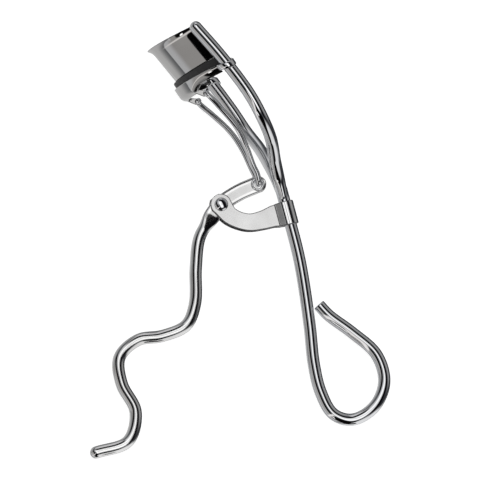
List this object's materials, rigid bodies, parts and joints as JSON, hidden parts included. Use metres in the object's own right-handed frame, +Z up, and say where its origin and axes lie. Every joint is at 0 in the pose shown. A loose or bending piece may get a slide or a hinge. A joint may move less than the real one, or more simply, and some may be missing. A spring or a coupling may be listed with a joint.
{
  "type": "eyelash curler",
  "caption": "Hand eyelash curler: bent wire handle with finger loop, hooked thumb lever, push bail and a padded lower jaw that slides up to a curved upper jaw.",
  "frame": {"origin": "middle of the footprint, on the floor the tool lies on", "axes": "+Y runs along the tool from the thumb hook towards the jaws, +Z is up from the floor with the tool on its right side, +X is towards the finger loop"},
  "size_m": [0.0756, 0.1092, 0.0357],
  "materials": {
    "polished_chrome": "polished, mirror",
    "satin_steel": "satin plated steel",
    "jaw_chrome": "polished, slightly dark",
    "black_rubber": "matt"
  },
  "bodies": {
    "frame": {"handle_wire": "polished_chrome", "guide_rod_left": "polished_chrome", "guide_rod_right": "polished_chrome", "upper_jaw": "jaw_chrome", "pivot_bracket": "satin_steel", "pivot_rivet": "polished_chrome"},
    "jaw": {"lower_jaw": "jaw_chrome", "pad_channel": "polished_chrome", "lash_pad": "black_rubber", "guide_loop_left": "polished_chrome", "guide_loop_right": "polished_chrome"},
    "lever": {"thumb_lever": "satin_steel", "lever_eyelet": "polished_chrome"},
    "bail": {"push_bail": "polished_chrome"}
  },
  "joints": [
    {"name": "lever_pivot", "type": "hinge", "parent": "frame", "child": "lever", "pos_m": [-0.0051, 0.00881, 0.01203], "axis": [-0.0252, 0.1693, -0.9852], "range_deg": [0, 28]},
    {"name": "jaw_slide", "type": "slide", "parent": "frame", "child": "jaw", "axis": [0.5678, -0.8087, -0.1535], "range_m": [0, 0.0051]},
    {"name": "bail_swing", "type": "hinge", "parent": "jaw", "child": "bail", "pos_m": [-0.0098, 0.0356, 0.01675], "axis": [-0.0252, 0.1693, -0.9852], "range_deg": [0, 4.5]}
  ],
  "couplings": [
    {"joint": "jaw_slide", "follows": "lever_pivot", "m_per_rad": 0.010203},
    {"joint": "bail_swing", "follows": "lever_pivot", "ratio": 0.1548}
  ]
}
